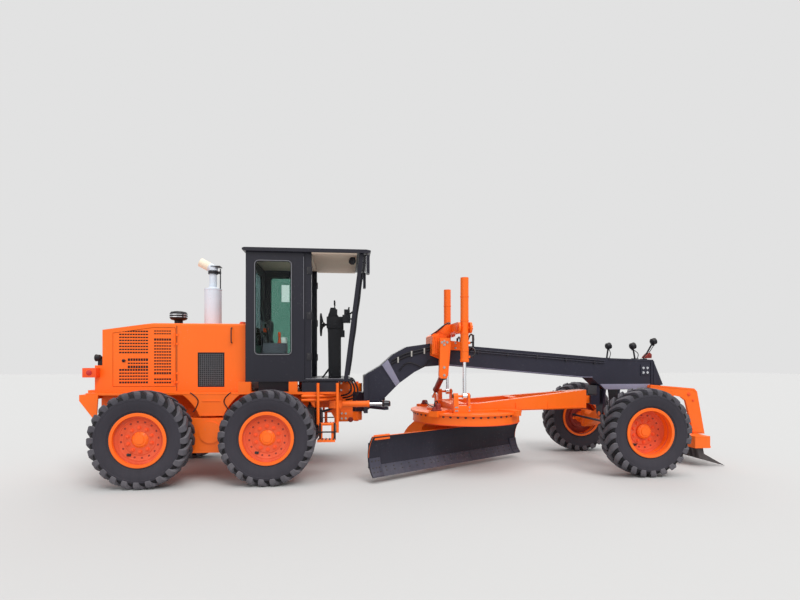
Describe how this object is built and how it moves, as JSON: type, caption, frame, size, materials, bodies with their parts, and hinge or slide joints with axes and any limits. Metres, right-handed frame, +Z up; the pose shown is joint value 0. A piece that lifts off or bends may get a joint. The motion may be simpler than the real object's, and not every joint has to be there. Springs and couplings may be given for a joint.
{
  "type": "motor grader",
  "caption": "Six-wheeled motor grader with a hinged frame, open-sided cab, angled blade on a turning circle under the front beam and a scarifier ahead of the nose.",
  "frame": {"origin": "on the ground under the middle of the machine, halfway between its rear lamps and its scarifier teeth", "axes": "+X forward, +Y to the machine's left, +Z up"},
  "size_m": [9.538, 2.35, 3.24],
  "materials": {
    "orange": "gloss machine paint",
    "charcoal": "satin machine paint",
    "blade_steel": "worn satin",
    "tyre": "matt",
    "glass": "clear, faint green",
    "chrome": "polished",
    "black_plastic": "matt",
    "seat_cover": "soft vinyl",
    "exhaust_steel": "light heat-proof paint",
    "iron": "as cast",
    "grille_black": "satin",
    "red_oxide": "satin",
    "tooth_steel": "worn"
  },
  "bodies": {
    "rear_body": {"rear_frame": "orange", "deck": "orange", "frame_tail": "orange", "rear_bumper": "orange", "tandem_drive": "orange", "hood": "orange", "hood_grilles": "grille_black", "engine_block": "iron", "exhaust": "exhaust_steel", "pre_cleaner": "black_plastic", "cab_floor": "charcoal", "cab_side_left": "charcoal", "cab_side_right": "charcoal", "cab_rear": "charcoal", "cab_front": "charcoal", "cab_roof": "charcoal", "cab_glass": "glass", "seat": "seat_cover", "steering_console": "black_plastic", "cab_steps": "orange", "frame_boxes": "charcoal", "rear_lamps": "black_plastic"},
    "front_body": {"front_frame": "charcoal", "front_axle": "orange", "saddle": "orange", "lift_cylinders": "orange", "front_lamps": "black_plastic"},
    "door_left": {"hood_door_left": "orange"},
    "door_right": {"hood_door_right": "orange"},
    "frame_barrel_left": {"frame_barrel_left": "orange"},
    "frame_barrel_right": {"frame_barrel_right": "orange"},
    "frame_rod_left": {"frame_rod_left": "chrome"},
    "frame_rod_right": {"frame_rod_right": "chrome"},
    "knuckle_left": {"knuckle_left": "orange"},
    "knuckle_right": {"knuckle_right": "orange"},
    "tie_rod": {"tie_rod": "charcoal"},
    "lift_rods": {"lift_rods": "chrome"},
    "drawbar": {"drawbar": "orange"},
    "circle": {"circle": "orange", "blade_arms": "orange"},
    "blade_carrier": {"blade_carrier": "orange"},
    "moldboard": {"moldboard": "blade_steel", "slide_bars": "tooth_steel", "side_shift_rod": "chrome"},
    "shift_barrel": {"shift_barrel": "red_oxide"},
    "shift_rod": {"shift_rod": "chrome"},
    "scarifier": {"scarifier_frame": "orange", "scarifier_teeth": "tooth_steel"},
    "wheel_rear_left": {"tyre_rear_left": "tyre", "rim_rear_left": "orange"},
    "wheel_rear_right": {"tyre_rear_right": "tyre", "rim_rear_right": "orange"},
    "wheel_mid_left": {"tyre_mid_left": "tyre", "rim_mid_left": "orange"},
    "wheel_mid_right": {"tyre_mid_right": "tyre", "rim_mid_right": "orange"},
    "wheel_front_left": {"tyre_front_left": "tyre", "rim_front_left": "orange"},
    "wheel_front_right": {"tyre_front_right": "tyre", "rim_front_right": "orange"}
  },
  "joints": [
    {"name": "articulation", "type": "hinge", "parent": "rear_body", "child": "front_body", "pos_m": [-1.021, 0, 1], "axis": [0, 0, 1], "range_deg": [-20, 20]},
    {"name": "frame_cylinder_left", "type": "hinge", "parent": "rear_body", "child": "frame_barrel_left", "pos_m": [-1.281, 0.5, 1.025], "axis": [0, 0, 1], "range_deg": [-14, 14]},
    {"name": "frame_ram_left", "type": "slide", "parent": "frame_barrel_left", "child": "frame_rod_left", "axis": [1, 0, 0], "range_m": [-0.19, 0.19]},
    {"name": "frame_cylinder_right", "type": "hinge", "parent": "rear_body", "child": "frame_barrel_right", "pos_m": [-1.281, -0.5, 1.025], "axis": [0, 0, 1], "range_deg": [-14, 14]},
    {"name": "frame_ram_right", "type": "slide", "parent": "frame_barrel_right", "child": "frame_rod_right", "axis": [1, 0, 0], "range_m": [-0.19, 0.19]},
    {"name": "spin_rear_left", "type": "hinge", "parent": "rear_body", "child": "wheel_rear_left", "pos_m": [-3.836, 1, 0.635], "axis": [0, 1, 0], "continuous": true},
    {"name": "spin_rear_right", "type": "hinge", "parent": "rear_body", "child": "wheel_rear_right", "pos_m": [-3.836, -1, 0.635], "axis": [0, 1, 0], "continuous": true},
    {"name": "spin_mid_left", "type": "hinge", "parent": "rear_body", "child": "wheel_mid_left", "pos_m": [-2.221, 1, 0.635], "axis": [0, 1, 0], "continuous": true},
    {"name": "spin_mid_right", "type": "hinge", "parent": "rear_body", "child": "wheel_mid_right", "pos_m": [-2.221, -1, 0.635], "axis": [0, 1, 0], "continuous": true},
    {"name": "spin_front_left", "type": "hinge", "parent": "knuckle_left", "child": "wheel_front_left", "pos_m": [3.122, 1, 0.635], "axis": [0, 1, 0], "continuous": true},
    {"name": "spin_front_right", "type": "hinge", "parent": "knuckle_right", "child": "wheel_front_right", "pos_m": [3.122, -1, 0.635], "axis": [0, 1, 0], "continuous": true},
    {"name": "steer_left", "type": "hinge", "parent": "front_body", "child": "knuckle_left", "pos_m": [3.122, 0.74, 0.635], "axis": [0, 0, 1], "range_deg": [-40, 40]},
    {"name": "steer_right", "type": "hinge", "parent": "front_body", "child": "knuckle_right", "pos_m": [3.122, -0.74, 0.635], "axis": [0, 0, 1], "range_deg": [-40, 40]},
    {"name": "tie_rod_turn", "type": "hinge", "parent": "knuckle_left", "child": "tie_rod", "pos_m": [2.922, 0.74, 0.69], "axis": [0, 0, 1], "range_deg": [-40, 40]},
    {"name": "drawbar_lift", "type": "hinge", "parent": "front_body", "child": "drawbar", "pos_m": [2.809, 0, 1.03], "axis": [0, 1, 0], "range_deg": [-7, 10]},
    {"name": "lift_ram", "type": "slide", "parent": "front_body", "child": "lift_rods", "axis": [0, 0, 1], "range_m": [-0.28, 0.41]},
    {"name": "circle_turn", "type": "hinge", "parent": "drawbar", "child": "circle", "pos_m": [0.729, 0, 0.85], "axis": [0, 0, 1], "range_deg": [-3, 105]},
    {"name": "blade_tilt", "type": "hinge", "parent": "circle", "child": "blade_carrier", "pos_m": [0.70926, 0.03247, 0.33], "axis": [0.8545, 0.5195, 0], "range_deg": [-20, 15]},
    {"name": "blade_side_shift", "type": "slide", "parent": "blade_carrier", "child": "moldboard", "axis": [0.8545, 0.5195, 0], "range_m": [0, 0.5]},
    {"name": "shift_cylinder", "type": "hinge", "parent": "front_body", "child": "shift_barrel", "pos_m": [0.279, -0.39, 1.44], "axis": [1, 0, 0], "range_deg": [-20, 28]},
    {"name": "shift_ram", "type": "slide", "parent": "shift_barrel", "child": "shift_rod", "axis": [0, 0.9078, -0.4194], "range_m": [-0.15, 0.105]},
    {"name": "scarifier_lift", "type": "hinge", "parent": "front_body", "child": "scarifier", "pos_m": [3.739, 0, 1.24], "axis": [0, -1, 0], "range_deg": [-10, 30]},
    {"name": "door_left_open", "type": "hinge", "parent": "rear_body", "child": "door_left", "pos_m": [-3.58, 0.563, 1.69], "axis": [0, 0, -1], "range_deg": [0, 100]},
    {"name": "door_right_open", "type": "hinge", "parent": "rear_body", "child": "door_right", "pos_m": [-3.58, -0.563, 1.69], "axis": [0, 0, 1], "range_deg": [0, 100]}
  ],
  "couplings": [
    {"joint": "frame_cylinder_left", "follows": "articulation", "ratio": 0.633},
    {"joint": "frame_cylinder_right", "follows": "articulation", "ratio": 0.633},
    {"joint": "frame_ram_left", "follows": "articulation", "m_per_rad": -0.497},
    {"joint": "frame_ram_right", "follows": "articulation", "m_per_rad": 0.497},
    {"joint": "steer_right", "follows": "steer_left", "ratio": 1},
    {"joint": "tie_rod_turn", "follows": "steer_left", "ratio": -1},
    {"joint": "lift_ram", "follows": "drawbar_lift", "m_per_rad": 2.27},
    {"joint": "shift_cylinder", "follows": "drawbar_lift", "ratio": 2.69},
    {"joint": "shift_ram", "follows": "drawbar_lift", "m_per_rad": -0.82}
  ]
}
